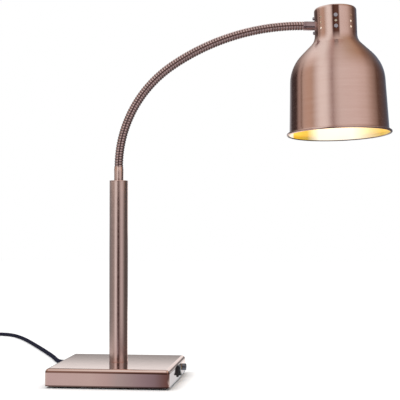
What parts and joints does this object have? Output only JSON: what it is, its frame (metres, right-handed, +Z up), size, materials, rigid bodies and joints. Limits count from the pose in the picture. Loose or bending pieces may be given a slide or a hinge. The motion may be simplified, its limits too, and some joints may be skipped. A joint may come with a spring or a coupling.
{
  "type": "flexible food heat lamp",
  "caption": "Free-standing food heat lamp: square weighted base with switch and dimmer knob, round post, ribbed flexible neck and vented bell shade over a reflector bulb, with its cord.",
  "frame": {"origin": "centre of the underside of the bottom plate, straight below the post; the rubber feet reach 4.5 mm below it", "axes": "+Z up along the post, +X towards the shade and through the switch's side, -Y the front, +Y the back where the cord leaves"},
  "size_m": [1.1532, 0.972, 0.6783],
  "materials": {
    "polished_copper": "polished rose-copper plating on steel sheet",
    "shade_copper": "spun sheet, polished, rose-copper colour",
    "post_copper": "satin rose-copper plating",
    "neck_copper": "wound strip, polished rose-copper plating",
    "zinc_steel": "zinc plated",
    "screw_steel": "nickel plated",
    "knob_chrome": "polished chrome",
    "iron": "cast, black primer",
    "black_rubber": "matt moulded rubber",
    "black_plastic": "moulded, slightly glossy",
    "cord_jacket": "smooth dark jacket",
    "lead_jacket": "silicone sleeve",
    "brass_parts": "plain",
    "holder_ceramic": "glazed",
    "bulb_glass": "mirrored inside, frosted face",
    "bulb_metal": "plain"
  },
  "bodies": {
    "stand": {"base_cover": "polished_copper", "bottom_plate": "zinc_steel", "bottom_plate_screws": "screw_steel", "rubber_feet": "black_rubber", "ballast_plate": "iron", "spacer_ring": "zinc_steel", "tie_pipe": "zinc_steel", "tie_nut": "zinc_steel", "tie_washer": "zinc_steel", "post_tube": "post_copper", "post_cap": "post_copper", "lower_ferrule": "post_copper", "neck_section_01": "neck_copper", "neck_lead": "lead_jacket", "riser_lead": "lead_jacket", "terminal_block": "black_plastic", "mains_wires": "lead_jacket", "control_wires": "lead_jacket", "cord_clamp": "zinc_steel", "supply_tail": "cord_jacket", "strain_relief": "black_rubber", "switch_housing": "black_plastic", "switch_terminals": "brass_parts", "dimmer_body": "black_plastic", "dimmer_nut": "zinc_steel", "power_cord": "cord_jacket", "cord_coil": "cord_jacket", "cord_tail": "cord_jacket", "plug_body": "cord_jacket", "plug_pins": "brass_parts"},
    "rocker": {"switch_rocker": "black_plastic"},
    "knob": {"dimmer_knob": "knob_chrome", "dimmer_shaft": "zinc_steel"},
    "neck_02": {"neck_section_02": "neck_copper"},
    "neck_03": {"neck_section_03": "neck_copper"},
    "neck_04": {"neck_section_04": "neck_copper"},
    "neck_05": {"neck_section_05": "neck_copper"},
    "neck_06": {"neck_section_06": "neck_copper"},
    "neck_07": {"neck_section_07": "neck_copper"},
    "neck_08": {"neck_section_08": "neck_copper"},
    "neck_09": {"neck_section_09": "neck_copper"},
    "neck_10": {"neck_section_10": "neck_copper"},
    "neck_11": {"neck_section_11": "neck_copper"},
    "neck_12": {"neck_section_12": "neck_copper"},
    "head": {"neck_section_13": "neck_copper", "upper_ferrule": "post_copper", "stud_nut": "zinc_steel", "neck_bracket": "zinc_steel", "neck_bracket_screws": "screw_steel", "shade": "shade_copper", "lampholder_bracket": "zinc_steel", "bracket_screws": "screw_steel", "lampholder_body": "holder_ceramic", "lampholder_shell": "brass_parts", "lampholder_contact": "brass_parts", "head_lead": "lead_jacket"},
    "bulb": {"bulb_envelope": "bulb_glass", "bulb_cap": "bulb_metal", "bulb_filament": "bulb_metal"}
  },
  "joints": [
    {"name": "lower_bend", "type": "hinge", "parent": "stand", "child": "neck_02", "pos_m": [0.00297, 0, 0.42371], "axis": [0, 1, 0], "range_deg": [-15, 12], "deforming": ["neck_lead"]},
    {"name": "lower_sway", "type": "hinge", "parent": "neck_02", "child": "neck_03", "pos_m": [0.01181, 0, 0.45894], "axis": [0.9468, 0, -0.3218], "range_deg": [-12, 12]},
    {"name": "neck_bend_03", "type": "hinge", "parent": "neck_03", "child": "neck_04", "pos_m": [0.02628, 0, 0.49227], "axis": [0, 1, 0], "range_deg": [-15, 12]},
    {"name": "neck_sway_04", "type": "hinge", "parent": "neck_04", "child": "neck_05", "pos_m": [0.04599, 0, 0.52279], "axis": [0.7929, 0, -0.6094], "range_deg": [-12, 12]},
    {"name": "neck_bend_05", "type": "hinge", "parent": "neck_05", "child": "neck_06", "pos_m": [0.07041, 0, 0.54968], "axis": [0, 1, 0], "range_deg": [-15, 12]},
    {"name": "neck_sway_06", "type": "hinge", "parent": "neck_06", "child": "neck_07", "pos_m": [0.09889, 0, 0.57224], "axis": [0.5546, 0, -0.8321], "range_deg": [-12, 12]},
    {"name": "upper_bend", "type": "hinge", "parent": "neck_07", "child": "neck_08", "pos_m": [0.13001, 0, 0.59104], "axis": [0, 1, 0], "range_deg": [-15, 12]},
    {"name": "upper_sway", "type": "hinge", "parent": "neck_08", "child": "neck_09", "pos_m": [0.16267, 0, 0.60702], "axis": [0.3992, 0, -0.9169], "range_deg": [-12, 12]},
    {"name": "neck_bend_09", "type": "hinge", "parent": "neck_09", "child": "neck_10", "pos_m": [0.19661, 0, 0.62004], "axis": [0, 1, 0], "range_deg": [-15, 12]},
    {"name": "neck_sway_10", "type": "hinge", "parent": "neck_10", "child": "neck_11", "pos_m": [0.23158, 0, 0.63001], "axis": [0.2313, 0, -0.9729], "range_deg": [-12, 12]},
    {"name": "neck_bend_11", "type": "hinge", "parent": "neck_11", "child": "neck_12", "pos_m": [0.26729, 0, 0.63684], "axis": [0, 1, 0], "range_deg": [-15, 12]},
    {"name": "neck_sway_12", "type": "hinge", "parent": "neck_12", "child": "head", "pos_m": [0.30346, 0, 0.64049], "axis": [0.0562, 0, -0.9984], "range_deg": [-12, 12]},
    {"name": "switch_rock", "type": "hinge", "parent": "stand", "child": "rocker", "pos_m": [0.1075, 0, 0.0145], "axis": [0, 1, 0], "range_deg": [0, 12]},
    {"name": "dimmer_turn", "type": "hinge", "parent": "stand", "child": "knob", "pos_m": [0.11, 0.055, 0.0145], "axis": [1, 0, 0], "range_deg": [0, 270]},
    {"name": "bulb_unscrew", "type": "slide", "parent": "head", "child": "bulb", "axis": [0.0304, -0.0454, -0.9985], "range_m": [0, 0.028]}
  ],
  "couplings": [
    {"joint": "neck_bend_03", "follows": "lower_bend", "ratio": 1},
    {"joint": "neck_bend_05", "follows": "lower_bend", "ratio": 1},
    {"joint": "neck_sway_04", "follows": "lower_sway", "ratio": 1},
    {"joint": "neck_sway_06", "follows": "lower_sway", "ratio": 1},
    {"joint": "neck_bend_09", "follows": "upper_bend", "ratio": 1},
    {"joint": "neck_bend_11", "follows": "upper_bend", "ratio": 1},
    {"joint": "neck_sway_10", "follows": "upper_sway", "ratio": 1},
    {"joint": "neck_sway_12", "follows": "upper_sway", "ratio": 1}
  ]
}
